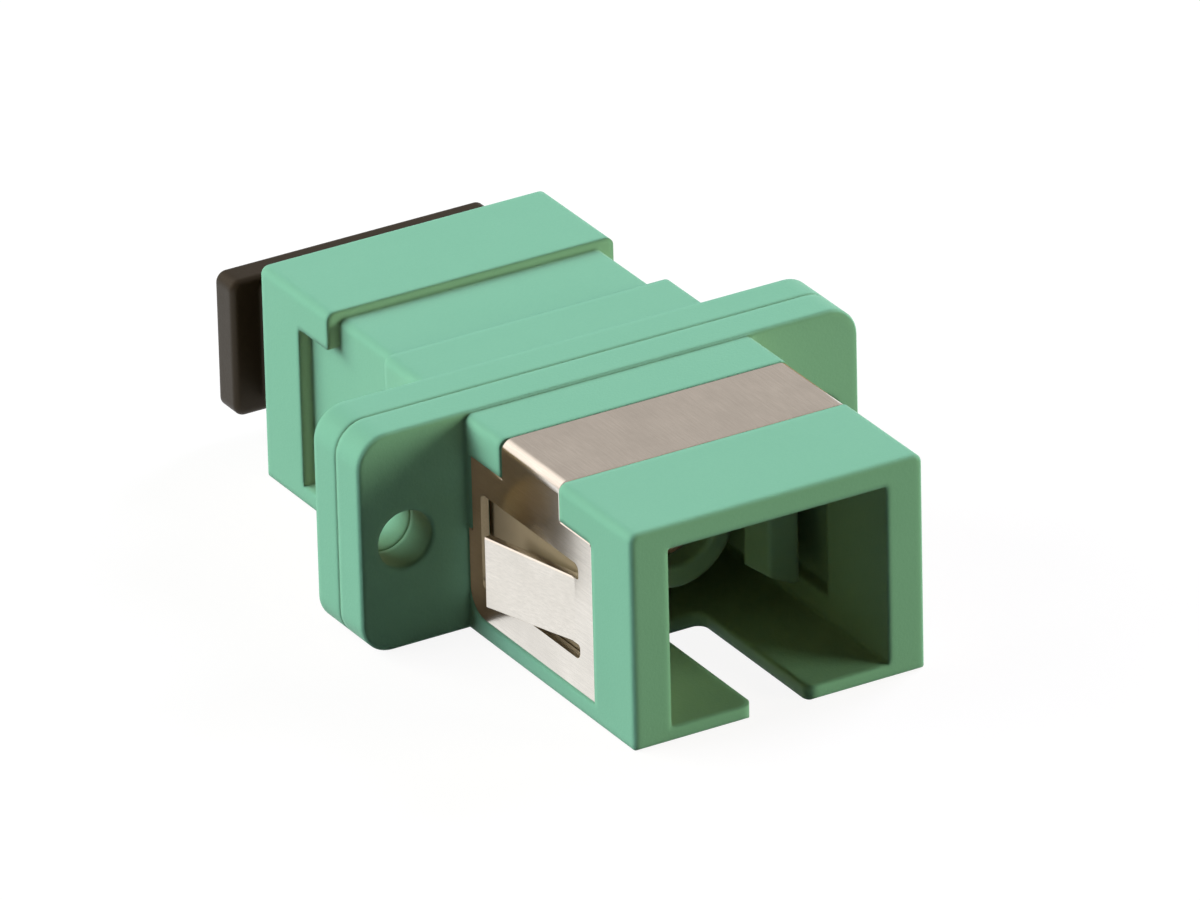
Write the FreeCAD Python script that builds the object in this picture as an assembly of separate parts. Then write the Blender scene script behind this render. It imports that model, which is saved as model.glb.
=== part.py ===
import FreeCAD, Part
import math
import os

# SC fibre adapter: a plug socket at each end, a split sleeve between them, a screw flange round the middle.
# Millimetres. +X is the width, +Z is up, and Y is the fibre axis: the open socket faces -Y.
# The origin is on the fibre axis in the seam plane, half way through the flange.
# One half is drawn towards -Y, and the other is the same moulding turned half a turn about Z.
# A depth is a distance from the seam plane, so a point at depth d of the front half has y = -d.

# ---- shell of one half ----
body_width = 12.8
body_height = 9.05
half_length = 14.05
body_edge_radius = 0.35
body_foot_radius = 0.1
mouth_edge_radius = 0.17

# ---- flange, half of it on each side of the seam ----
flange_width = 22.16
flange_half_thickness = 1.71
flange_rise = 0.1
flange_corner_radius = 1.3
flange_edge_chamfer = 0.08
seam_chamfer = 0.04
screw_edge = 1.98
screw_hole_radius = 1.2

# ---- socket and its key slot ----
socket_width = 9.6
socket_height = 7.5
socket_drop = 0.18
socket_corner_radius = 0.1
key_slot_width = 2.4
key_slot_length = 7.78
key_corner_radius = 0.45

# ---- folded clip ----
sheet = 0.35
clip_gap = 0.05
clip_rise = 0.04
clip_sink = 0.03
clip_bend_radius = 0.5
clip_edge_chamfer = 0.05
recess_side_depth = 0.55
recess_top_depth = 0.35
recess_rim = 0.3
recess_corner_radius = 0.3
band_start = 4.42
band_width = 4.32
plate_reach = 11.05
plate_top = 2.93
plate_bottom = -3.75
plate_corner_radius = 0.18
plate_nook_radius = 0.08
plate_heel_radius = 1.1
heel_top = -0.2

# ---- spring tongue lanced out of each side of the clip ----
tongue_margin = 1.0
tongue_top = 1.0
tongue_bottom = -1.74
tongue_spread = 0.22
tongue_rise = 1.15
slot_above = 0.65
slot_below = 0.63
slot_margin = 0.69
slot_behind = 2.2
slot_end_radius = 0.3

# ---- inner moulding: base plate, latch arms, sleeve holder ----
base_thickness = 1.25
base_width = 11.1
base_gap = 0.05
arm_inner = 3.2
arm_thickness = 0.9
arm_half_height = 2.4
arm_tip = 8.8
arm_tip_radius = 0.2
hook_height = 1.0
hook_lead = 0.45
hook_length = 1.1
hook_half_height = 1.6
relief_depth = 0.5
relief_reach = 9.6
relief_half_height = 2.9

# ---- split sleeve and the holder round it ----
sleeve_bore_radius = 1.25
sleeve_outer_radius = 1.6
sleeve_length = 11.4
sleeve_slit = 0.5
sleeve_gap = 0.05
holder_wall = 0.75
holder_lip_length = 1.05
holder_mouth_radius = 1.45
holder_chamfer = 0.12

# ---- dust cap ----
cap_gap = 0.05
cap_depth = 4.6
cap_wall = 0.9
cap_step = 0.3
cap_web = 1.2
cap_corner_radius = 0.5
neck_length = 2.98
neck_top = 2.3
neck_bottom = -3.2
grip_thickness = 1.32
grip_width = 12.1
grip_top = 2.45
grip_bottom = -3.4
grip_corner_radius = 0.45
grip_inner_edge_radius = 0.22
grip_outer_edge_radius = 0.1

# ---- worked out from the sizes above ----
over = 1.0
body_half_width = body_width / 2
body_half_height = body_height / 2
socket_centre = -socket_drop
socket_top = socket_centre + socket_height / 2
socket_bottom = socket_centre - socket_height / 2
screw_x = flange_width / 2 - screw_edge
base_pocket_depth = base_thickness + base_gap
base_pocket_width = base_width + 2 * base_gap
band_end = band_start + band_width
clip_half_width = body_half_width - clip_sink
clip_top = body_half_height + clip_rise
recess_half_width = body_half_width - recess_side_depth
recess_roof = body_half_height - recess_top_depth
clip_heel = flange_half_thickness + clip_gap
clip_foot = clip_heel + recess_rim
tongue_root = plate_reach - tongue_margin
window_end = clip_foot + slot_margin
tongue_end = window_end + slot_behind
holder_bore_radius = sleeve_outer_radius + sleeve_gap
holder_outer_radius = holder_bore_radius + holder_wall
holder_seat = sleeve_length / 2 + sleeve_gap
holder_reach = holder_seat + holder_lip_length


def vec(x, y, z):
    return FreeCAD.Vector(x, y, z)


def rounded_outline(corners, place):
    """Closed face through (a, b, radius) corners, each corner rounded; place(a, b) puts a point in space."""
    count = len(corners)
    starts = []
    middles = []
    ends = []
    for index in range(count):
        a, b, radius = corners[index]
        before = corners[index - 1]
        after = corners[(index + 1) % count]
        back = math.atan2(before[1] - b, before[0] - a)
        ahead = math.atan2(after[1] - b, after[0] - a)
        half_angle = abs(math.remainder(ahead - back, 2 * math.pi)) / 2
        middle = back + math.remainder(ahead - back, 2 * math.pi) / 2
        tangent = radius / math.tan(half_angle)
        dip = radius / math.sin(half_angle) - radius
        starts.append((a + tangent * math.cos(back), b + tangent * math.sin(back)))
        middles.append((a + dip * math.cos(middle), b + dip * math.sin(middle)))
        ends.append((a + tangent * math.cos(ahead), b + tangent * math.sin(ahead)))
    edges = []
    for index in range(count):
        following = (index + 1) % count
        if corners[index][2] > 0:
            arc_points = [place(*point) for point in (starts[index], middles[index], ends[index])]
            edges.append(Part.Arc(*arc_points).toShape())
        line_start = place(*ends[index])
        line_end = place(*starts[following])
        if line_start.distanceToPoint(line_end) > 1e-6:
            edges.append(Part.LineSegment(line_start, line_end).toShape())
    return Part.Face(Part.Wire(edges))


def in_section(a, b):
    """A point of a cross-section seen along the fibre axis, in the seam plane."""
    return vec(a, 0, b)


def section_prism(corners, near, far):
    """A section seen along the fibre axis, swept from depth near to depth far."""
    prism = rounded_outline(corners, in_section).extrude(vec(0, near - far, 0))
    prism.translate(vec(0, -near, 0))
    return prism


def side_prism(corners, left, right):
    """An outline of (depth, height) corners seen from the side, swept across from x left to x right."""
    face = rounded_outline(corners, lambda depth, height: vec(left, -depth, height))
    return face.extrude(vec(right - left, 0, 0))


def plan_prism(corners, low, high):
    """An outline of (x, depth) corners seen from above, swept from height low to height high."""
    face = rounded_outline(corners, lambda x, depth: vec(x, -depth, low))
    return face.extrude(vec(0, 0, high - low))


def rectangle(left, right, low, high, radius):
    """The four corners of a rounded rectangle."""
    return [(left, low, radius), (right, low, radius), (right, high, radius), (left, high, radius)]


def footed_rectangle(half_width, half_height, top_radius, foot_radius):
    """A centred rectangle whose two lower corners have a radius of their own."""
    return [
        (-half_width, -half_height, foot_radius),
        (half_width, -half_height, foot_radius),
        (half_width, half_height, top_radius),
        (-half_width, half_height, top_radius),
    ]


def rod(radius, near, far, x=0.0, z=0.0):
    """A round bar along the fibre axis, from depth near to depth far."""
    return Part.makeCylinder(radius, far - near, vec(x, -near, z), vec(0, -1, 0))


def mirrored_pair(shape):
    """The shape and its mirror image across the plane x = 0."""
    return [shape, shape.mirror(vec(0, 0, 0), vec(1, 0, 0))]


def turned_round(shape):
    """The same moulding facing the other way along the fibre axis."""
    return shape.rotated(vec(0, 0, 0), vec(0, 0, 1), 180)


def edges_at_depth(shape, depth):
    """All edges that lie in the plane at one depth."""
    found = []
    for edge in shape.Edges:
        box = edge.BoundBox
        if abs(box.YMin + depth) < 1e-4 and abs(box.YMax + depth) < 1e-4:
            found.append(edge)
    return found


# ---- housing ----
def shell_block():
    corners = footed_rectangle(body_half_width, body_half_height, body_edge_radius, body_foot_radius)
    block = section_prism(corners, 0, half_length)
    return block.makeFillet(mouth_edge_radius, edges_at_depth(block, half_length))


def flange_half():
    top = body_half_height + flange_rise
    corners = rectangle(-flange_width / 2, flange_width / 2, -body_half_height, top, flange_corner_radius)
    plate = section_prism(corners, 0, flange_half_thickness)
    plate = plate.makeChamfer(flange_edge_chamfer, edges_at_depth(plate, flange_half_thickness))
    return plate.makeChamfer(seam_chamfer, edges_at_depth(plate, 0))


def clip_recess():
    """What the clip takes out of the shell: a band over the top that widens to a plate on each side."""
    near = band_start - clip_gap
    far = band_end + clip_gap
    top = plate_top + clip_gap
    bottom = plate_bottom - clip_gap
    reach = plate_reach + clip_gap
    rim = flange_half_thickness + recess_rim
    outline = [
        (near, body_height, 0),
        (near, top, 0),
        (rim, top, 0),
        (rim, heel_top + clip_gap, 0),
        (flange_half_thickness, heel_top + clip_gap, 0),
        (flange_half_thickness, bottom, plate_heel_radius),
        (reach, bottom, 0),
        (reach, top, plate_corner_radius),
        (far, top, plate_nook_radius),
        (far, body_height, 0),
    ]
    cutter = side_prism(outline, -body_width, body_width)
    core = [
        (-recess_half_width, -body_height, 0),
        (recess_half_width, -body_height, 0),
        (recess_half_width, recess_roof, recess_corner_radius),
        (-recess_half_width, recess_roof, recess_corner_radius),
    ]
    return cutter.cut(section_prism(core, -over, half_length + over))


def socket_void():
    """The plug's space, the seam pocket that traps the base plate, and the arms' relief pockets."""
    half = socket_width / 2
    plug_space = rectangle(-half, half, socket_bottom, socket_top, socket_corner_radius)
    void = section_prism(plug_space, -over, half_length + over)
    pocket_half = base_pocket_width / 2
    pocket = rectangle(-pocket_half, pocket_half, socket_bottom, socket_top, socket_corner_radius)
    relief_half = half + relief_depth
    relief = rectangle(-relief_half, relief_half, -relief_half_height, relief_half_height, socket_corner_radius)
    return void.fuse([section_prism(pocket, -over, base_pocket_depth), section_prism(relief, -over, relief_reach)])


def key_slot():
    half = key_slot_width / 2
    inner = half_length - key_slot_length
    wide = half + key_slot_width
    outline = [
        (-half, inner, key_corner_radius),
        (half, inner, key_corner_radius),
        (half, half_length, key_corner_radius),
        (wide, half_length, 0),
        (wide, half_length + over, 0),
        (-wide, half_length + over, 0),
        (-wide, half_length, 0),
        (-half, half_length, key_corner_radius),
    ]
    return plan_prism(outline, -body_half_height - over, socket_centre)


def screw_holes():
    return mirrored_pair(rod(screw_hole_radius, -over, flange_half_thickness + over, x=screw_x))


def housing():
    half = shell_block().fuse(flange_half())
    half = half.cut([clip_recess(), socket_void(), key_slot()] + screw_holes())
    return half.removeSplitter()


# ---- inner moulding ----
def latch_arm():
    outer = arm_inner + arm_thickness
    root = base_thickness / 2
    arm_outline = [
        (arm_inner, root, 0),
        (outer, root, 0),
        (outer, arm_tip, arm_tip_radius),
        (arm_inner, arm_tip, arm_tip_radius),
    ]
    arm = plan_prism(arm_outline, -arm_half_height, arm_half_height)
    hook_outline = [
        (arm_inner + arm_tip_radius, arm_tip, 0),
        (arm_inner - hook_lead, arm_tip, arm_tip_radius),
        (arm_inner - hook_height, arm_tip - hook_length, arm_tip_radius / 2),
        (arm_inner + arm_tip_radius, arm_tip - hook_length - arm_tip_radius, 0),
    ]
    arm = arm.fuse(plan_prism(hook_outline, -arm_half_height, arm_half_height))
    point = arm_inner - hook_height
    middle = arm_inner + arm_thickness / 2
    taper = [
        (point, -hook_half_height, 0),
        (middle, -arm_half_height, 0),
        (outer, -arm_half_height, 0),
        (outer, arm_half_height, 0),
        (middle, arm_half_height, 0),
        (point, hook_half_height, 0),
    ]
    return arm.common(section_prism(taper, 0, arm_tip))


def sleeve_holder():
    """Half of the tube round the split sleeve, chamfered at its tip."""
    tube = rod(holder_outer_radius, 0, holder_reach)
    return tube.makeChamfer(holder_chamfer, edges_at_depth(tube, holder_reach))


def latch_insert():
    half = base_width / 2
    low = socket_bottom + base_gap
    high = socket_top - base_gap
    base = section_prism(rectangle(-half, half, low, high, socket_corner_radius), 0, base_thickness)
    moulding = base.fuse([sleeve_holder()] + mirrored_pair(latch_arm()))
    seat = rod(holder_bore_radius, -over, holder_seat)
    mouth = rod(holder_mouth_radius, -over, holder_reach + over)
    flare = Part.makeCone(
        holder_mouth_radius, holder_mouth_radius + holder_chamfer, holder_chamfer,
        vec(0, holder_chamfer - holder_reach, 0), vec(0, -1, 0))
    return moulding.cut([seat, mouth, flare]).removeSplitter()


# ---- split sleeve ----
def alignment_sleeve():
    half = sleeve_length / 2
    ring = rod(sleeve_outer_radius, -half, half).cut(rod(sleeve_bore_radius, -half - over, half + over))
    slit = [
        (-sleeve_slit / 2, 0, 0),
        (sleeve_slit / 2, 0, 0),
        (sleeve_slit / 2, sleeve_outer_radius + over, 0),
        (-sleeve_slit / 2, sleeve_outer_radius + over, 0),
    ]
    return ring.cut(section_prism(slit, -half - over, half + over))


# ---- clip ----
def clip_profile():
    """The folded sheet seen along the fibre axis: top band, two bends, two plates."""
    outer = clip_half_width
    inner = outer - sheet
    right_side = [
        (outer, clip_top, clip_bend_radius),
        (outer, plate_bottom, 0),
        (inner, plate_bottom, 0),
        (inner, clip_top - sheet, clip_bend_radius - sheet),
    ]
    left_side = [(-x, z, radius) for x, z, radius in reversed(right_side)]
    return right_side + left_side


def clip_outline():
    """The folded clip seen from the side, as (depth, height) corners."""
    above = clip_top + over
    return [
        (band_start, above, 0),
        (band_start, plate_top, 0),
        (clip_foot, plate_top, 0),
        (clip_foot, heel_top, 0),
        (clip_heel, heel_top, 0),
        (clip_heel, plate_bottom, plate_heel_radius),
        (plate_reach, plate_bottom, 0),
        (plate_reach, plate_top, plate_corner_radius),
        (band_end, plate_top, plate_nook_radius),
        (band_end, above, 0),
    ]


def tongue_window():
    """The opening that the tongue is lanced from, right through both side plates."""
    top = tongue_top + slot_above
    bottom = tongue_bottom - slot_below
    corners = [
        (window_end, bottom, slot_end_radius),
        (tongue_root, bottom, slot_end_radius),
        (tongue_root, tongue_bottom, slot_end_radius / 2),
        (tongue_root - slot_end_radius, tongue_bottom, 0),
        (tongue_root - slot_end_radius, tongue_top, 0),
        (tongue_root, tongue_top, slot_end_radius / 2),
        (tongue_root, top, slot_end_radius),
        (window_end, top, slot_end_radius),
    ]
    return side_prism(corners, -body_width, body_width)


def spring_tongue():
    """The lanced tongue: flat at its root, then straight outwards, wider at its free end by the flange."""
    root = tongue_root - slot_end_radius
    run = root - tongue_end
    slope = math.atan2(tongue_rise, run)
    skew = sheet * math.tan(slope / 2)
    outer = clip_half_width
    inner = clip_half_width - sheet
    across = sheet * math.cos(slope)
    along = sheet * math.sin(slope)
    corners = [
        (outer, tongue_root, 0),
        (outer, root, 0),
        (outer + tongue_rise, tongue_end, 0),
        (outer + tongue_rise - across, tongue_end - along, 0),
        (inner, root - skew, 0),
        (inner, tongue_root, 0),
    ]
    tongue = plan_prism(corners, tongue_bottom - over, tongue_top + over)
    blank = [
        (tongue_end - over, tongue_bottom - tongue_spread, 0),
        (tongue_end, tongue_bottom - tongue_spread, 0),
        (root, tongue_bottom, 0),
        (tongue_root, tongue_bottom, 0),
        (tongue_root, tongue_top, 0),
        (tongue_end - over, tongue_top, 0),
    ]
    tongue = tongue.common(side_prism(blank, 0, body_width))
    sides = []
    for edge in tongue.Edges:
        outward = [point.x - outer - (root + point.y) * tongue_rise / run for point in edge.discretize(3)]
        on_face = max(abs(value) for value in outward) < 1e-4
        if on_face and edge.BoundBox.YLength > sheet and edge.BoundBox.YMax > -root + clip_gap:
            sides.append(edge)
    tongue = tongue.makeChamfer(clip_edge_chamfer, sides)
    upright = [edge for edge in tongue.Edges if edge.BoundBox.ZLength > tongue_top - tongue_bottom - sheet]
    tip = max(upright, key=lambda edge: edge.BoundBox.XMin)
    return tongue.makeChamfer(clip_edge_chamfer, [tip])


def on_outside(edge):
    """True for an edge that lies in the sheet's outer face all the way along."""
    bend_x = clip_half_width - clip_bend_radius
    bend_z = clip_top - clip_bend_radius
    for point in edge.discretize(5):
        past_x = max(abs(point.x) - bend_x, 0)
        past_z = max(point.z - bend_z, 0)
        if abs(math.hypot(past_x, past_z) - clip_bend_radius) > 1e-4:
            return False
    return True


def along_fibre(edge):
    """True for an edge parallel to the fibre axis."""
    box = edge.BoundBox
    return box.XLength + box.ZLength < 1e-6


def mounting_clip():
    folded = section_prism(clip_profile(), 0, half_length)
    folded = folded.common(side_prism(clip_outline(), -body_width, body_width))
    rim = [edge for edge in folded.Edges if on_outside(edge)]
    rim = [edge for edge in rim if not (along_fibre(edge) and edge.BoundBox.ZMax > plate_top + clip_gap)]
    folded = folded.makeChamfer(clip_edge_chamfer, rim)
    folded = folded.cut(tongue_window())
    return folded.fuse(mirrored_pair(spring_tongue())).removeSplitter()


# ---- dust cap ----
def dust_cap():
    """Drawn over the front socket: hollow plug, neck, grip plate."""
    plug_half = socket_width / 2 - cap_gap
    plug_low = socket_bottom + cap_gap
    plug_high = socket_top - cap_gap
    plug_near = half_length - cap_depth
    plug_far = half_length - cap_step
    grip_near = half_length + neck_length
    grip_far = grip_near + grip_thickness
    plug = section_prism(
        rectangle(-plug_half, plug_half, plug_low, plug_high, cap_corner_radius), plug_near, plug_far)
    plug = plug.makeChamfer(cap_corner_radius / 2, edges_at_depth(plug, plug_near))
    hollow = section_prism(
        rectangle(cap_wall - plug_half, plug_half - cap_wall, plug_low + cap_wall, plug_high - cap_wall, 0),
        plug_near - over, plug_far - cap_web)
    neck = section_prism(
        rectangle(-plug_half, plug_half, neck_bottom, neck_top, cap_corner_radius), plug_far - cap_web, grip_near)
    grip = section_prism(
        rectangle(-grip_width / 2, grip_width / 2, grip_bottom, grip_top, grip_corner_radius), grip_near, grip_far)
    grip = grip.makeFillet(grip_inner_edge_radius, edges_at_depth(grip, grip_near))
    grip = grip.makeFillet(grip_outer_edge_radius, edges_at_depth(grip, grip_far))
    return plug.cut(hollow).fuse([neck, grip]).removeSplitter()


def main():
    os.makedirs("parts", exist_ok=True)
    half = housing()
    insert = latch_insert()
    nodes = {
        "front_housing": half,
        "rear_housing": turned_round(half),
        "front_latch_insert": insert,
        "rear_latch_insert": turned_round(insert),
        "alignment_sleeve": alignment_sleeve(),
        "mounting_clip": mounting_clip(),
        "rear_dust_cap": turned_round(dust_cap()),
    }
    for name, shape in nodes.items():
        shape.exportStep(os.path.join("parts", name + ".step"))
        print(name, "solids", len(shape.Solids), "valid", shape.isValid(), "volume", round(shape.Volume, 2))


main()
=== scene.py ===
# %% [markdown]
# # A square fibre adapter, dressed for its portrait
#
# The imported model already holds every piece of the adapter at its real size: two green housing halves, two
# inner mouldings with latch arms, a ceramic sleeve, a folded steel clip and a dark dust cap. Nothing is
# modelled again here, because a clean solid needs no second mesh. This lesson gives each piece its finish
# and sets up a small studio. Everything is in metres, in the same frame as the model: +X to the right of
# someone who faces the open socket, -Y out of the socket towards them, and +Z up.

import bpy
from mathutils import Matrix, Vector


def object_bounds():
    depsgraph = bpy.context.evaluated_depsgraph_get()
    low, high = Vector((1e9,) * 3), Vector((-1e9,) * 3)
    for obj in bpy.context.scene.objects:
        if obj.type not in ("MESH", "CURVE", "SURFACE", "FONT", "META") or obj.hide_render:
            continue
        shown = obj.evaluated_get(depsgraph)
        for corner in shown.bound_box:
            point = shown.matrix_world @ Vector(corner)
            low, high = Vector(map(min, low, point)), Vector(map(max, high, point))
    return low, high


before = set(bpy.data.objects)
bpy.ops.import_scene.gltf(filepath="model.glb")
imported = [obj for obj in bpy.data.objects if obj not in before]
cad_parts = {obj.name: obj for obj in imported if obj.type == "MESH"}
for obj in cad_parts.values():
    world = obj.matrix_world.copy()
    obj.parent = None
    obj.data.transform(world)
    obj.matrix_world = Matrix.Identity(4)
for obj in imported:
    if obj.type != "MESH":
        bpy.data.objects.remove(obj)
cad_box = [list(corner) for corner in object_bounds()]

import math

import bpy
import numpy as np
from mathutils import Matrix, Vector

MM = 0.001
print("model box in mm:", [[round(value / MM, 2) for value in corner] for corner in cad_box])

# %% [markdown]
# ## The camera
#
# A small part looks best through a long lens from a good half metre away, because that keeps its edges
# almost parallel. The view comes from the left of the open socket and from above. A camera can be turned by
# hand, but three angles say more clearly what it does: the azimuth goes round the adapter, the elevation
# goes up, and the small roll tilts the camera about its own line of sight. The three directions of the
# camera follow from them, and its place lies on the line of sight that passes close to the flange.

# %% Place the camera
VIEW_AZIMUTH = math.radians(-30.0)
VIEW_ELEVATION = math.radians(26.16)
VIEW_ROLL = math.radians(-1.41)
VIEW_DISTANCE = 570.98 * MM
AIM_RIGHT = 0.424 * MM
AIM_UP = 0.556 * MM
LENS = 447.06
SENSOR = 36.0
NEAREST_SEEN, FARTHEST_SEEN = 0.01, 10.0


def direction_of(azimuth, elevation):
    """The unit vector from the origin at an azimuth, which is 0 in front of the open socket and 90 degrees
    on its right, and an elevation above the table."""
    level = math.cos(elevation)
    return Vector((math.sin(azimuth) * level, -math.cos(azimuth) * level, math.sin(elevation)))


def make_camera():
    """A camera whose backward axis points at it from the adapter. Right starts level, and the roll turns
    right and up about the backward axis."""
    back = direction_of(VIEW_AZIMUTH, VIEW_ELEVATION)
    level = Vector((0, 0, 1)).cross(back).normalized()
    upright = back.cross(level)
    right = math.cos(VIEW_ROLL) * level + math.sin(VIEW_ROLL) * upright
    up = math.cos(VIEW_ROLL) * upright - math.sin(VIEW_ROLL) * level
    data = bpy.data.cameras.new("camera")
    data.lens = LENS
    data.sensor_width = SENSOR
    data.clip_start = NEAREST_SEEN
    data.clip_end = FARTHEST_SEEN
    camera = bpy.data.objects.new("camera", data)
    place = back * VIEW_DISTANCE + right * AIM_RIGHT + up * AIM_UP
    camera.matrix_world = Matrix.Translation(place) @ Matrix((right, up, back)).transposed().to_4x4()
    bpy.context.scene.collection.objects.link(camera)
    bpy.context.scene.camera = camera
    return camera


camera = make_camera()
print("camera at, in mm:", [round(value / MM, 1) for value in camera.location])

# %% [markdown]
# ## Small helpers for materials
#
# A material is a little graph of nodes. Clicking it together works, but a script can be read and changed.
# The first helpers add a node with its settings, give its inputs their values or join other nodes to them,
# and start a material that holds one Principled shader. The next three are the nodes that this lesson uses
# most, each in one line: a sum, a noise and a mix of two colours. The last two start a node group with
# named inputs and outputs and place it in a material: a group is built once and then serves every material
# that needs the same effect, with its own values.

# %% Node helpers
def add_node(tree, kind, place=(0, 0), **settings):
    """A new node of one kind, with its own properties set by name."""
    node = tree.nodes.new(kind)
    node.location = place
    for name, value in settings.items():
        setattr(node, name, value)
    return node


def feed(node, key, value):
    """Joins another node's output to an input, or gives the input a plain value."""
    if isinstance(value, bpy.types.NodeSocket):
        node.id_data.links.new(value, node.inputs[key])
    else:
        node.inputs[key].default_value = value


def set_inputs(node, **values):
    """Feeds a node's inputs by name; an underscore in a name stands for a space."""
    for name, value in values.items():
        feed(node, name.replace("_", " "), value)
    return node


def new_material(name):
    """An empty node material with a Principled shader joined to its output."""
    material = bpy.data.materials.new(name)
    material.use_nodes = True
    tree = material.node_tree
    tree.nodes.clear()
    shader = add_node(tree, "ShaderNodeBsdfPrincipled", (200, 0))
    output = add_node(tree, "ShaderNodeOutputMaterial", (700, 0))
    set_inputs(output, Surface=shader.outputs["BSDF"])
    return material, tree, shader


print("node helpers ready:", add_node.__name__, feed.__name__, set_inputs.__name__, new_material.__name__)

# %% Sums, noises and mixes
def maths(tree, operation, *values, place=(0, 0)):
    """The result of a Math node, whose inputs are fed in order."""
    node = add_node(tree, "ShaderNodeMath", place, operation=operation)
    for index, value in enumerate(values):
        feed(node, index, value)
    return node.outputs[0]


def noise(tree, where, scale, detail, roughness, place=(0, 0)):
    """A noise between 0 and 1: scale is how many specks fit in a metre, detail how many finer layers are
    added, and roughness how strong each is beside the last."""
    node = add_node(tree, "ShaderNodeTexNoise", place)
    return set_inputs(node, Vector=where, Scale=scale, Detail=detail, Roughness=roughness).outputs["Fac"]


def mix_colours(tree, factor, first, second, place=(0, 0)):
    """The first colour where the factor is 0, and the second where it is 1."""
    node = add_node(tree, "ShaderNodeMix", place, data_type="RGBA")
    return set_inputs(node, Factor=factor, A=first, B=second).outputs["Result"]


print("one-line nodes ready:", maths.__name__, noise.__name__, mix_colours.__name__)

# %% Group helpers
FLOAT = "NodeSocketFloat"
COLOUR = "NodeSocketColor"
DIRECTION = "NodeSocketVector"


def new_group(name, inputs, outputs):
    """A shader node group with (socket name, socket type, default) inputs and (name, type) outputs."""
    group = bpy.data.node_groups.new(name, "ShaderNodeTree")
    for socket_name, socket_type, default in inputs:
        socket = group.interface.new_socket(name=socket_name, in_out="INPUT", socket_type=socket_type)
        socket.default_value = default
    for socket_name, socket_type in outputs:
        group.interface.new_socket(name=socket_name, in_out="OUTPUT", socket_type=socket_type)
    entry = add_node(group, "NodeGroupInput", (-900, 0))
    leave = add_node(group, "NodeGroupOutput", (900, 0))
    return group, entry, leave


def place_group(tree, group, place=(-400, 0), **values):
    """Puts a group into a material and feeds its inputs."""
    return set_inputs(add_node(tree, "ShaderNodeGroup", place, node_tree=group), **values)


print("group helpers ready:", new_group.__name__, place_group.__name__)

# %% [markdown]
# ## The skin of a moulding
#
# A moulded housing comes out of a spark-eroded steel mould, so its skin isn't smooth. It carries a fine
# even grain about a tenth of a millimetre across, its gloss changes a little from place to place where the
# plastic shrank, and no edge is truly sharp, because the mould's own edges are rounded and worn.
#
# A painted texture could carry the grain, but it would need a map of the surface. Noise on Object
# coordinates needs none and has the same size everywhere. One group makes everything: a fine noise for the
# grain's height, a broad noise that shifts the colour, a mix of both for the roughness, and a Bevel node,
# which bends the shading near every edge as a few tenths of a millimetre of rounding would.

# %% Build the moulded skin group
SKIN_INPUTS = [
    ("Base", COLOUR, (0.5, 0.5, 0.5, 1)),
    ("Shade", COLOUR, (0.4, 0.4, 0.4, 1)),
    ("Mottle", FLOAT, 0.3),
    ("Grain Scale", FLOAT, 9000.0),
    ("Cloud Scale", FLOAT, 260.0),
    ("Rough Low", FLOAT, 0.4),
    ("Rough Span", FLOAT, 0.15),
    ("Edge Radius", FLOAT, 0.25 * MM),
]
SKIN_OUTPUTS = [("Colour", COLOUR), ("Roughness", FLOAT), ("Height", FLOAT), ("Edge Normal", DIRECTION)]


def build_moulded_skin():
    """both = half the grain plus half the cloud. Colour = base mixed towards shade by mottle times both;
    roughness = low plus span times both; height = the grain; edge normal = the mean normal of the surface
    within the edge radius."""
    group, entry, leave = new_group("moulded_skin", SKIN_INPUTS, SKIN_OUTPUTS)
    given = entry.outputs
    where = add_node(group, "ShaderNodeTexCoord", (-900, 300)).outputs["Object"]
    grain = noise(group, where, given["Grain Scale"], detail=3.0, roughness=0.6, place=(-600, 300))
    cloud = noise(group, where, given["Cloud Scale"], detail=4.0, roughness=0.55, place=(-600, 0))
    half_cloud = maths(group, "MULTIPLY", cloud, 0.5, place=(-450, -100))
    both = maths(group, "MULTIPLY_ADD", grain, 0.5, half_cloud, place=(-300, 100))
    amount = maths(group, "MULTIPLY", both, given["Mottle"], place=(-100, 200))
    colour = mix_colours(group, amount, given["Base"], given["Shade"], (200, 200))
    rough = maths(group, "MULTIPLY_ADD", both, given["Rough Span"], given["Rough Low"], place=(200, -100))
    edge = add_node(group, "ShaderNodeBevel", (200, -350), samples=8)
    set_inputs(edge, Radius=given["Edge Radius"])
    set_inputs(leave, Colour=colour, Roughness=rough, Height=grain, Edge_Normal=edge.outputs["Normal"])
    return group


moulded_skin = build_moulded_skin()
print("skin sockets:", [item.name for item in moulded_skin.interface.items_tree])

# %% [markdown]
# ## The green and the dark plastics
#
# Both halves of the housing share one green, and the inner mouldings come from another mould in nearly the
# same green with a smoother skin. The dust cap is a softer plastic, close to black, with a slightly warm
# sheen. All three are one Principled shader fed by the skin group, so a function makes them from their
# colours and grain. A plastic reflects little, so the specular level stays low on the matt green.

# %% Mix the plastics
def apply_effect(tree, shader, effect, bump_strength, bump_depth):
    """Feeds a shader with a group's colour and roughness, and with its height through a bump."""
    bump = add_node(tree, "ShaderNodeBump", (-100, -250))
    set_inputs(bump, Strength=bump_strength, Distance=bump_depth, Height=effect.outputs["Height"])
    set_inputs(shader, Base_Color=effect.outputs["Colour"], Roughness=effect.outputs["Roughness"],
               Normal=bump.outputs["Normal"])
    return bump


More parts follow.
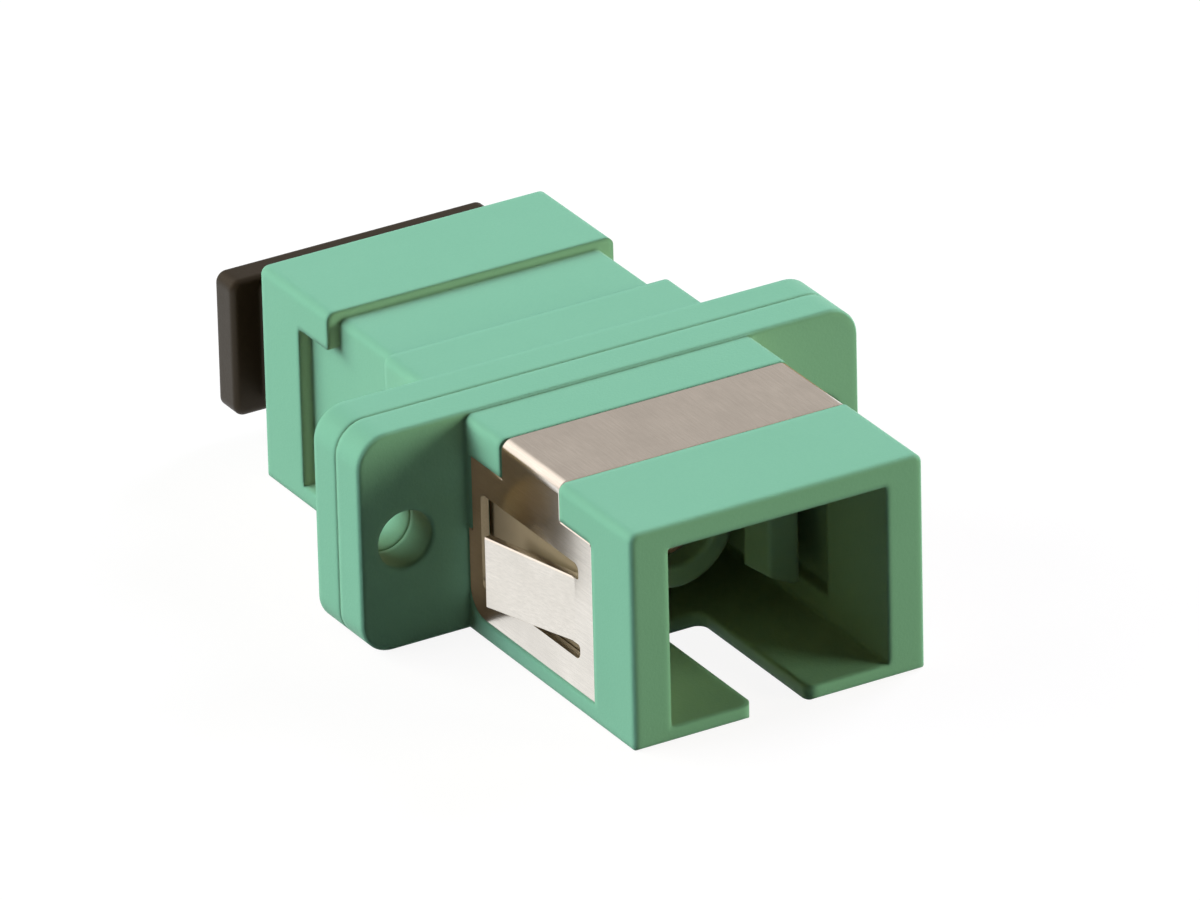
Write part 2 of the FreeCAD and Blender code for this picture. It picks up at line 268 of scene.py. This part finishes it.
def plastic(name, base, shade, bump_depth, specular, sheen_of=(1, 1, 1), **skin_values):
    """A Principled plastic whose colour, roughness and normal come from the moulded skin group."""
    material, tree, shader = new_material(name)
    skin = place_group(tree, moulded_skin, Base=(*base, 1), Shade=(*shade, 1), **skin_values)
    bump = apply_effect(tree, shader, skin, bump_strength=1.0, bump_depth=bump_depth)
    set_inputs(bump, Normal=skin.outputs["Edge Normal"])
    set_inputs(shader, Specular_IOR_Level=specular, Specular_Tint=(*sheen_of, 1))
    return material


housing_green = plastic(
    "housing_green", base=(0.255, 0.590, 0.415), shade=(0.205, 0.500, 0.340), bump_depth=0.009 * MM,
    specular=0.12, Mottle=0.5, Grain_Scale=9000.0, Rough_Low=0.42, Rough_Span=0.2, Edge_Radius=0.38 * MM)
insert_green = plastic(
    "insert_green", base=(0.240, 0.560, 0.400), shade=(0.190, 0.470, 0.330), bump_depth=0.003 * MM,
    specular=0.12, Mottle=0.4, Grain_Scale=7000.0, Rough_Low=0.36, Rough_Span=0.15)
cap_dark = plastic(
    "cap_dark", base=(0.010, 0.0065, 0.0025), shade=(0.016, 0.011, 0.0045), bump_depth=0.005 * MM,
    specular=0.42, sheen_of=(1.0, 0.88, 0.72), Mottle=0.7, Grain_Scale=8000.0, Rough_Low=0.38,
    Rough_Span=0.2)
print("plastics:", housing_green.name, insert_green.name, cap_dark.name)

# %% [markdown]
# ## The strip behind the clip's windows
#
# Each side plate of the clip has a window, and the flat of the housing behind it is painted a darker,
# duller khaki than the rest: painted shade, standing in for the shadow that the clip casts into its recess.
# A second object would be a clumsy way to tint a patch of one piece. Three comparisons of Object
# coordinates are enough: each is 1 inside a range along one axis, and their product is 1 only in a thin box
# just under the window. X is taken without its sign, so that the strip is there on both sides.

# %% Paint shade into the strip behind the windows
# Painted shade: a dark khaki that stands for the clip's shadow on the flat behind each window.
SHADED_KHAKI = (0.35, 0.28, 0.175)
STRIP_MIDDLE = (5.85 * MM, -6.4 * MM, -0.36 * MM)
STRIP_REACH = (0.1 * MM, 3.9 * MM, 2.3 * MM)


def recolour(material, mask_of, colour):
    """Mixes what feeds the material's Base Color towards another colour, by a mask made in its own tree."""
    tree = material.node_tree
    shader = tree.nodes["Principled BSDF"]
    before = shader.inputs["Base Color"].links[0].from_socket
    after = mix_colours(tree, mask_of(tree), before, (*colour, 1), (0, 300))
    set_inputs(shader, Base_Color=after)


def window_shade_mask(tree):
    """1 where |x|, y and z are each within the strip's reach of its middle, and 0 elsewhere."""
    where = add_node(tree, "ShaderNodeTexCoord", (-1100, 500))
    axes = set_inputs(add_node(tree, "ShaderNodeSeparateXYZ", (-900, 500)), Vector=where.outputs["Object"])
    outwards = maths(tree, "ABSOLUTE", axes.outputs["X"], place=(-700, 700))
    sources = (outwards, axes.outputs["Y"], axes.outputs["Z"])
    across, along, upwards = [
        maths(tree, "COMPARE", source, middle, reach, place=(-500, 700))
        for source, middle, reach in zip(sources, STRIP_MIDDLE, STRIP_REACH)]
    on_side = maths(tree, "MULTIPLY", across, along, place=(-300, 700))
    return maths(tree, "MULTIPLY", on_side, upwards, place=(-150, 600))


# The strip takes the khaki with painted shade in it, so it is darker than the green beside it.
recolour(housing_green, window_shade_mask, SHADED_KHAKI)
print("strip from y in mm:", [round((STRIP_MIDDLE[1] + side * STRIP_REACH[1]) / MM, 1) for side in (-1, 1)])

# %% [markdown]
# ## What the green throws back
#
# Light that bounces between green faces would turn every shadow a stronger green, and the clip would mirror
# a green housing. Here both are painted instead: a warm, dull olive is handed on as painted shade and
# painted reflection. Light Path tells a shader which kind of ray has met it, so the colour can differ for
# diffuse and glossy rays: the faces stay green to look at, and what they hand on to their neighbours and to
# the clip is the painted olive. Light Path stays in the material itself, outside any group.

# %% Warm the bounced light
# Painted shade and painted reflection: the olive that shadows and the clip's mirror images take from the
# greens.
SHADE_OLIVE = (0.63, 0.53, 0.36)


def bounce_mask(tree):
    """1 for a ray that has bounced off a matt or a glossy surface, and 0 for one from the camera."""
    path = add_node(tree, "ShaderNodeLightPath", (-400, 500)).outputs
    return maths(tree, "MAXIMUM", path["Is Diffuse Ray"], path["Is Glossy Ray"], place=(-200, 450))


# Both greens hand on the painted olive, so their shadows and their reflections in the clip turn olive.
for green in (housing_green, insert_green):
    recolour(green, bounce_mask, SHADE_OLIVE)
    print(green.name, "has", len(green.node_tree.nodes), "nodes")

# %% [markdown]
# ## Rolled stainless sheet
#
# The clip is cut and folded from rolled spring steel. Rolling leaves fine lines in one direction, and
# handling leaves a faint cloudiness. Anisotropic shading can hint at such lines, but at this size they can
# be seen one by one, so they are real noise: its coordinates are squeezed along Y, which stretches every
# speck into a line. Metal takes its colour from its reflections, so Metallic is 1 and the base colour is
# the warm grey of the steel itself.

# %% Build the rolled lines group
LINE_INPUTS = [
    ("Bright", COLOUR, (0.7, 0.7, 0.7, 1)),
    ("Dull", COLOUR, (0.6, 0.6, 0.6, 1)),
    ("Stretch", FLOAT, 0.06),
    ("Line Scale", FLOAT, 14000.0),
    ("Cloud Scale", FLOAT, 500.0),
    ("Rough Low", FLOAT, 0.2),
    ("Rough Span", FLOAT, 0.1),
]
LINE_OUTPUTS = [("Colour", COLOUR), ("Roughness", FLOAT), ("Height", FLOAT)]
DULL_BELOW, BRIGHT_ABOVE = 0.12, 0.42


def build_rolled_lines():
    """Lines = noise on coordinates squeezed along Y; cloud = broad noise. Colour = dull mixed towards
    bright as lines times cloud climbs between the two bounds; roughness = low plus span times cloud;
    height = the lines."""
    group, entry, leave = new_group("rolled_lines", LINE_INPUTS, LINE_OUTPUTS)
    given = entry.outputs
    where = add_node(group, "ShaderNodeTexCoord", (-900, 300)).outputs["Object"]
    squeeze = add_node(group, "ShaderNodeCombineXYZ", (-900, 100))
    set_inputs(squeeze, X=1.0, Y=given["Stretch"], Z=1.0)
    squeezed = add_node(group, "ShaderNodeVectorMath", (-700, 200), operation="MULTIPLY")
    feed(squeezed, 0, where)
    feed(squeezed, 1, squeeze.outputs[0])
    lines = noise(
        group, squeezed.outputs[0], given["Line Scale"], detail=3.0, roughness=0.6, place=(-500, 200))
    cloud = noise(group, where, given["Cloud Scale"], detail=5.0, roughness=0.6, place=(-500, -100))
    both = maths(group, "MULTIPLY", lines, cloud, place=(-250, 100))
    spread = add_node(group, "ShaderNodeMapRange", (0, 200))
    set_inputs(spread, Value=both, From_Min=DULL_BELOW, From_Max=BRIGHT_ABOVE)
    colour = mix_colours(group, spread.outputs["Result"], given["Dull"], given["Bright"], (200, 200))
    rough = maths(group, "MULTIPLY_ADD", cloud, given["Rough Span"], given["Rough Low"], place=(200, -100))
    set_inputs(leave, Colour=colour, Roughness=rough, Height=lines)
    return group


rolled_lines = build_rolled_lines()
print("line sockets:", [item.name for item in rolled_lines.interface.items_tree])


# %% Mix the steel
def steel(name, bright, dull, line_depth, **line_values):
    """Metal whose colour, roughness and bump follow the rolled lines."""
    material, tree, shader = new_material(name)
    lines = place_group(tree, rolled_lines, Bright=(*bright, 1), Dull=(*dull, 1), **line_values)
    apply_effect(tree, shader, lines, bump_strength=0.5, bump_depth=line_depth)
    set_inputs(shader, Metallic=1.0)
    return material


clip_steel = steel(
    "clip_steel", bright=(0.80, 0.765, 0.71), dull=(0.68, 0.65, 0.60), line_depth=0.0015 * MM,
    Rough_Low=0.12, Rough_Span=0.10)
print("metal:", clip_steel.name)

# %% [markdown]
# ## Ceramic
#
# The split sleeve is ground and polished zirconia: creamy white, dense and glossy, with only the faintest
# grinding marks. It needs no shader of its own. The moulded skin group serves again, with a very fine
# grain, a low roughness and a higher specular level.

# %% Mix the ceramic
sleeve_ceramic = plastic(
    "sleeve_ceramic", base=(0.86, 0.83, 0.76), shade=(0.80, 0.77, 0.70), bump_depth=0.0008 * MM,
    specular=0.6, Mottle=0.3, Grain_Scale=15000.0, Rough_Low=0.10, Rough_Span=0.06)
print("ceramic:", sleeve_ceramic.name)

# %% [markdown]
# ## Hand the finishes to the model's pieces
#
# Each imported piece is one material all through, as the real ones are, so its mesh stays exactly as it is
# and only its material slots change. The slots are linked to the object, which leaves the mesh's own
# materials untouched.

# %% Assign the finishes
FINISHES = {
    "front_housing": housing_green,
    "rear_housing": housing_green,
    "front_latch_insert": insert_green,
    "rear_latch_insert": insert_green,
    "alignment_sleeve": sleeve_ceramic,
    "mounting_clip": clip_steel,
    "rear_dust_cap": cap_dark,
}

for node_name, material in FINISHES.items():
    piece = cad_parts[node_name]
    for slot in piece.material_slots:
        slot.link = "OBJECT"
        slot.material = material
    print(node_name, "takes", material.name, "in", len(piece.material_slots), "slot(s)")

# %% [markdown]
# ## The table
#
# The adapter lies on a white table that melts into a white background. A table lit up to white would need
# so much light that the pale green clipped too. So the paint is a darkish grey, which throws little light
# back up and keeps the soft shadow, and a glow brings it up to white. Light Path gives the glow only to
# rays that look at the table: those of the camera, and those that a glossy surface mirrors. The table lies
# a hundredth of a millimetre under the adapter, because two faces in one plane would flicker.

# %% Build the table
TABLE_REACH = 2.0
TABLE_GAP = 0.01 * MM
TABLE_GREY = 0.14
TABLE_ROUGHNESS = 0.9
GLOW_IN_VIEW = 0.905
GLOW_IN_GLOSS = 1.0


def seen_directly(tree, camera_value, glossy_value):
    """One value for camera and transmission rays, another for glossy rays, and 0 for all others."""
    path = add_node(tree, "ShaderNodeLightPath", (-700, 400)).outputs
    direct = maths(tree, "MAXIMUM", path["Is Camera Ray"], path["Is Transmission Ray"], place=(-500, 450))
    in_view = maths(tree, "MULTIPLY", direct, camera_value, place=(-300, 450))
    return maths(tree, "MULTIPLY_ADD", path["Is Glossy Ray"], glossy_value, in_view, place=(-100, 400))


def make_table_paint():
    """Matt grey paint with the glow added to it."""
    material, tree, shader = new_material("table_white")
    paint = (TABLE_GREY, TABLE_GREY, TABLE_GREY, 1)
    set_inputs(shader, Base_Color=paint, Roughness=TABLE_ROUGHNESS, Specular_IOR_Level=0.0)
    glow = add_node(tree, "ShaderNodeEmission", (200, 300))
    set_inputs(glow, Strength=seen_directly(tree, GLOW_IN_VIEW, GLOW_IN_GLOSS))
    both = add_node(tree, "ShaderNodeAddShader", (500, 200))
    feed(both, 0, glow.outputs[0])
    feed(both, 1, shader.outputs[0])
    set_inputs(tree.nodes["Material Output"], Surface=both.outputs[0])
    return material


def make_table(height):
    """A flat square at one height: the four corners of a grid from -reach to reach along X and Y."""
    steps = np.array([-TABLE_REACH, TABLE_REACH])
    x, y = np.meshgrid(steps, steps, indexing="xy")
    points = np.stack([x.ravel(), y.ravel(), np.full(4, height)], axis=1)
    mesh = bpy.data.meshes.new("table")
    mesh.from_pydata(points.tolist(), [], [(0, 1, 3, 2)])
    mesh.materials.append(make_table_paint())
    table = bpy.data.objects.new("table", mesh)
    bpy.context.scene.collection.objects.link(table)
    return table


table_height = cad_box[0][2] - TABLE_GAP
table = make_table(table_height)
print(table.name, "at z in mm:", round(table_height / MM, 3))

# %% [markdown]
# ## Four soft lamps
#
# Soft light comes from a lamp that is large beside the object: these squares are over ten times as wide as
# the adapter, and hang a good half metre away. The first keeps the left side bright, and from low down it
# gives the top about the same. The second comes from behind on the left and reaches into the screw hole.
# The third stands low in front on the right. It is warm and grazes the front faces, so that they stay
# darker than the top and can still be read. The fourth is cooler, and lights the right side and the top. A
# lamp mirrored in the clip would be a hard white square, so none shows in reflections.

# %% Hang the lamps
LAMP_DISTANCE = 0.6
LAMP_SIZE = 0.3


def area_lamp(name, azimuth, elevation, power, colour):
    """A square soft lamp at an azimuth and elevation in degrees, facing the adapter."""
    data = bpy.data.lights.new(name, "AREA")
    data.shape = "SQUARE"
    data.size = LAMP_SIZE
    data.energy = power
    data.color = colour
    lamp = bpy.data.objects.new(name, data)
    lamp.visible_glossy = False
    direction = direction_of(math.radians(azimuth), math.radians(elevation))
    lamp.location = direction * LAMP_DISTANCE
    lamp.rotation_mode = "QUATERNION"
    lamp.rotation_quaternion = direction.to_track_quat("Z", "Y")
    bpy.context.scene.collection.objects.link(lamp)
    return lamp


LAMPS = [
    area_lamp("left_lamp", azimuth=-108, elevation=22, power=2.42, colour=(0.94, 0.965, 1.0)),
    area_lamp("behind_left_lamp", azimuth=-142, elevation=30, power=2.0, colour=(0.96, 1.0, 0.87)),
    area_lamp("front_right_lamp", azimuth=50, elevation=10, power=2.95, colour=(1.0, 0.9, 0.64)),
    area_lamp("right_lamp", azimuth=105, elevation=32, power=3.17, colour=(0.82, 0.81, 1.0)),
]
print("lamps in watts:", {lamp.name: round(lamp.data.energy, 2) for lamp in LAMPS})

# %% [markdown]
# ## The sky
#
# The world behind everything does three jobs at once, and Light Path keeps them apart. The camera sees pure
# white. The adapter gets only a trace of warm light from it, because the lamps do the lighting. And the
# steel needs something to mirror: a warm grey, which brightens smoothly round one direction behind on the
# left, so that the clip's bend catches a highlight while its flats stay calm.

# %% Paint the sky
AMBIENT = 0.01
AMBIENT_COLOUR = (1.0, 0.85, 0.6)
WHITE = (1.0, 1.0, 1.0)
SKY_COLOUR = (1.0, 0.91, 0.84)
GLEAM_FROM = (-0.50, 0.66, 0.56)
GLEAM_EDGE, GLEAM_CORE = 0.72, 0.98
SKY_GREY, SKY_GLEAM = 0.585, 1.5


def background(tree, colour, strength, place):
    """The output of a background of one colour and strength."""
    node = add_node(tree, "ShaderNodeBackground", place)
    return set_inputs(node, Color=(*colour, 1), Strength=strength).outputs[0]


def mix_shaders(tree, factor, first, second, place):
    """The first shader where the factor is 0 and the second where it is 1."""
    node = add_node(tree, "ShaderNodeMixShader", place)
    for index, value in enumerate((factor, first, second)):
        feed(node, index, value)
    return node.outputs[0]


def sky_brightness(tree):
    """A grey that rises to the gleam by a smooth step of the cosine between the ray and the gleam."""
    where = add_node(tree, "ShaderNodeTexCoord", (-900, 0))
    cosine = add_node(tree, "ShaderNodeVectorMath", (-700, 0), operation="DOT_PRODUCT")
    feed(cosine, 0, where.outputs["Generated"])
    feed(cosine, 1, GLEAM_FROM)
    gleam = add_node(tree, "ShaderNodeMapRange", (-500, 0), interpolation_type="SMOOTHSTEP")
    set_inputs(gleam, Value=cosine.outputs["Value"], From_Min=GLEAM_EDGE, From_Max=GLEAM_CORE,
               To_Min=SKY_GREY, To_Max=SKY_GLEAM)
    return gleam.outputs["Result"]


def make_sky():
    """A world that gives ambient light to diffuse rays, white to the camera and the sky to glossy rays."""
    world = bpy.data.worlds.new("studio")
    bpy.context.scene.world = world
    world.use_nodes = True
    tree = world.node_tree
    tree.nodes.clear()
    ambient = background(tree, AMBIENT_COLOUR, AMBIENT, (0, 200))
    white = background(tree, WHITE, 1.0, (0, 0))
    mirrored = background(tree, SKY_COLOUR, sky_brightness(tree), (0, -200))
    in_view = mix_shaders(tree, seen_directly(tree, 1.0, 0.0), ambient, white, (200, 100))
    in_gloss = mix_shaders(tree, seen_directly(tree, 0.0, 1.0), in_view, mirrored, (400, 0))
    set_inputs(add_node(tree, "ShaderNodeOutputWorld", (600, 0)), Surface=in_gloss)
    return world


sky = make_sky()
bpy.context.scene.view_settings.view_transform = "Standard"
print("sky:", sky.name, "with", len(sky.node_tree.nodes), "nodes")
